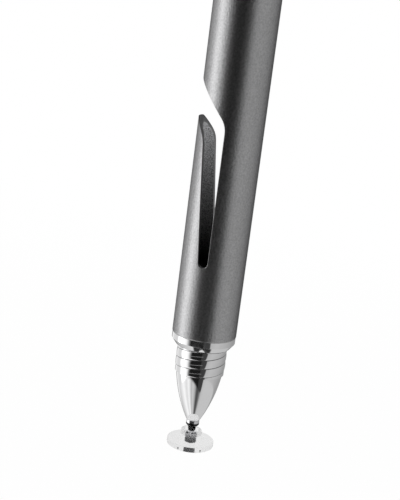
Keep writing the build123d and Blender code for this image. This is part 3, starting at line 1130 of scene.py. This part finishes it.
class STYLUS_OT_stage(bpy.types.Operator):
    """Make the floor, the light and the camera"""

    bl_idname = "stylus.stage"
    bl_label = "Stage"

    def execute(self, context):
        stage = settings().stage
        context.scene.view_settings.view_transform = "Standard"
        self.make_world(context, stage)
        self.make_floor(stage)
        self.make_tent(stage)
        self.make_base(stage)
        self.make_lamps(stage)
        self.make_camera(context, stage)
        return {"FINISHED"}

    def seen_white(self, tree):
        """1 for rays that show the white background: from the camera, in mirrors and through glass."""
        rays = tree.nodes.new("ShaderNodeLightPath").outputs
        seen = Reading(tree, rays["Is Camera Ray"])
        return seen.most(rays["Is Glossy Ray"]).most(rays["Is Transmission Ray"])

    def make_world(self, context, stage):
        """A white background over a soft even light."""
        world = bpy.data.worlds.new("studio")
        world.use_nodes = True
        context.scene.world = world
        tree = world.node_tree
        soft = tree.nodes["Background"]
        soft.inputs["Color"].default_value = (1, 1, 1, 1)
        soft.inputs["Strength"].default_value = stage.soft_light
        white = add_node(tree, "ShaderNodeBackground", {"Color": (1, 1, 1, 1), "Strength": 1})
        mix = add_node(tree, "ShaderNodeMixShader", {0: self.seen_white(tree), 1: soft, 2: white})
        feed(tree, tree.nodes["World Output"].inputs["Surface"], mix)

    def make_floor(self, stage):
        """A pale floor that runs out into the white background and keeps the pen's soft shadow."""
        reach = stage.floor_reach
        floor_z = film_low.z - stage.floor_drop
        mesh = bpy.data.meshes.new("floor")
        corners = [(-reach, -reach), (reach, -reach), (reach, reach), (-reach, reach)]
        mesh.from_pydata([(x, y, floor_z) for x, y in corners], [], [(0, 1, 2, 3)])
        floor = add_object("floor", mesh)
        material, tree = new_material("pale_floor")
        matt = tree.nodes["Principled BSDF"]
        matt.inputs["Base Color"].default_value = (*stage.floor_colour, 1)
        matt.inputs["Roughness"].default_value = stage.floor_roughness
        white = tree.nodes.new("ShaderNodeEmission")
        away = length(tree, own_place(tree))
        fade = map_range(away, stage.fade_start, stage.fade_end, stage.white_share, 1)
        mix = add_node(tree, "ShaderNodeMixShader", {0: self.seen_white(tree) * fade, 1: matt, 2: white})
        feed(tree, tree.nodes["Material Output"].inputs["Surface"], mix)
        mesh.materials.append(material)
        floor.visible_glossy = False

    def mirrored(self, name, shape):
        """A glowing stage object that shows only in mirrors, its node tree and its brightness socket."""
        mesh = mesh_of(shape, name)
        made = add_object(name, mesh)
        material, tree = new_material(name)
        glow = tree.nodes.new("ShaderNodeEmission")
        feed(tree, tree.nodes["Material Output"].inputs["Surface"], glow)
        mesh.materials.append(material)
        made.visible_camera = False
        made.visible_diffuse = False
        made.visible_transmission = False
        made.visible_shadow = False
        return made, tree, glow.inputs["Strength"]

    def make_tent(self, stage):
        """A light tent with a dark opening towards the camera, which only bright surfaces mirror."""
        shape = bmesh.new()
        bmesh.ops.create_icosphere(shape, subdivisions=TENT_SUBDIVISIONS, radius=stage.tent_radius)
        tent, tree, strength = self.mirrored("light_tent", shape)
        tent.rotation_euler.z = stage.azimuth
        feed(tree, strength, self.tent_tone(tree, stage))

    def make_base(self, stage):
        """A dark disc under the tip, which only bright surfaces mirror."""
        shape = bmesh.new()
        bmesh.ops.create_circle(shape, cap_ends=True, segments=BASE_SEGMENTS, radius=stage.base_radius)
        base, tree, strength = self.mirrored("dark_base", shape)
        base.location.z = film_low.z - stage.base_drop
        feed(tree, strength, TENT_UNDER)

    def tent_tone(self, tree, stage):
        """The tent's brightness: tones round the compass at eye level and below it, above and under."""
        x, y, z = split(tree, own_place(tree))
        turn = x.turn_from(y * -1)
        height = z / stage.tent_radius
        compass = map_range(turn, -pi, pi, way="LINEAR")
        middle = self.ring_tone(compass, TENT_MIDDLE)
        low = self.ring_tone(compass, TENT_LOW)
        left, right = SLANT_TURNS
        slanted = turn.most(left).least(right).times_plus(SLANT, height)
        edge = slanted + map_range(turn, *STEP_TURNS, 0, STEP)
        strip = map_range(height, *STRIP_FOOT) * map_range(height, *STRIP_TOP)
        tone = self.blend(strip * map_range(turn, *STRIP_END), middle, middle.most(STRIP_TONE))
        tone = self.blend(map_range(edge, *OPENING_EDGE), tone, low)
        tone = self.blend(map_range(height, *UNDER_EDGE), tone, TENT_UNDER)
        return self.blend(map_range(height, *ABOVE_EDGE), tone, TENT_ABOVE)

    def ring_tone(self, compass, stops):
        """A tone that changes round the compass, from stops of degrees to the right and tone."""
        node = add_node(compass.tree, "ShaderNodeValToRGB", {0: compass})
        elements = node.color_ramp.elements
        while len(elements) < len(stops):
            elements.new(0.5)
        for element, (degrees, tone) in zip(elements, stops):
            element.position = (degrees + 180) / 360
            element.color = (tone / TENT_PEAK, tone / TENT_PEAK, tone / TENT_PEAK, 1)
        return Reading(compass.tree, node.outputs[0]) * TENT_PEAK

    def blend(self, share, first, second):
        """One value that runs into another."""
        mix = add_node(share.tree, "ShaderNodeMix", {"Factor": share, "A": first, "B": second})
        return Reading(share.tree, mix.outputs["Result"])

    def make_lamps(self, stage):
        """Two soft boxes that light the floor."""
        for name, turn, power in LAMPS:
            lamp = bpy.data.lights.new(name, "AREA")
            lamp.size = stage.lamp_size
            lamp.energy = power
            angle = stage.azimuth + radians(turn)
            reach = stage.lamp_reach
            place_at = Vector((reach * sin(angle), -reach * cos(angle), stage.lamp_height))
            made = add_object(name, lamp)
            made.location = place_at
            made.rotation_euler = (-place_at).to_track_quat("-Z", "Y").to_euler()
            made.visible_glossy = False
            made.visible_transmission = False

    def make_camera(self, context, stage):
        """The camera at the photograph's viewing angle."""
        lens = bpy.data.cameras.new("camera")
        lens.lens = stage.lens
        lens.clip_start = MM
        camera = add_object("camera", lens)
        turn = Matrix.Rotation(stage.azimuth, 4, "Z")
        tip = Matrix.Rotation(pi / 2 - stage.elevation, 4, "X")
        lean = Matrix.Rotation(stage.roll, 4, "Z")
        camera.matrix_world = Matrix.Translation(stage.place) @ turn @ tip @ lean
        context.scene.camera = camera


class STYLUS_PT_panel(bpy.types.Panel):
    """Lists the pen's pieces and its stage"""

    bl_idname = "STYLUS_PT_panel"
    bl_label = "Disc stylus pen"
    bl_space_type = "VIEW_3D"
    bl_region_type = "UI"
    bl_category = "Stylus"

    def draw(self, context):
        for operator in OPERATORS:
            self.layout.operator(operator.bl_idname)


GROUPS = (
    BarrelSizes,
    NibSizes,
    StudSizes,
    TipSizes,
    PlugSizes,
    FinishColours,
    StageSettings,
    StylusSettings,
)
OPERATORS = (
    STYLUS_OT_barrel,
    STYLUS_OT_nib,
    STYLUS_OT_ball_stud,
    STYLUS_OT_tip,
    STYLUS_OT_end_plug,
    STYLUS_OT_inner_fittings,
    STYLUS_OT_stage,
)


def register():
    for item in (*GROUPS, *OPERATORS, STYLUS_PT_panel):
        bpy.utils.register_class(item)
    bpy.types.Scene.stylus = PointerProperty(type=StylusSettings)


def unregister():
    del bpy.types.Scene.stylus
    for item in reversed((*GROUPS, *OPERATORS, STYLUS_PT_panel)):
        bpy.utils.unregister_class(item)


def main():
    register()
    bpy.ops.stylus.barrel()
    bpy.ops.stylus.nib()
    bpy.ops.stylus.ball_stud()
    bpy.ops.stylus.tip()
    bpy.ops.stylus.end_plug()
    bpy.ops.stylus.inner_fittings()
    bpy.ops.stylus.stage()


if __name__ == "__main__":
    main()
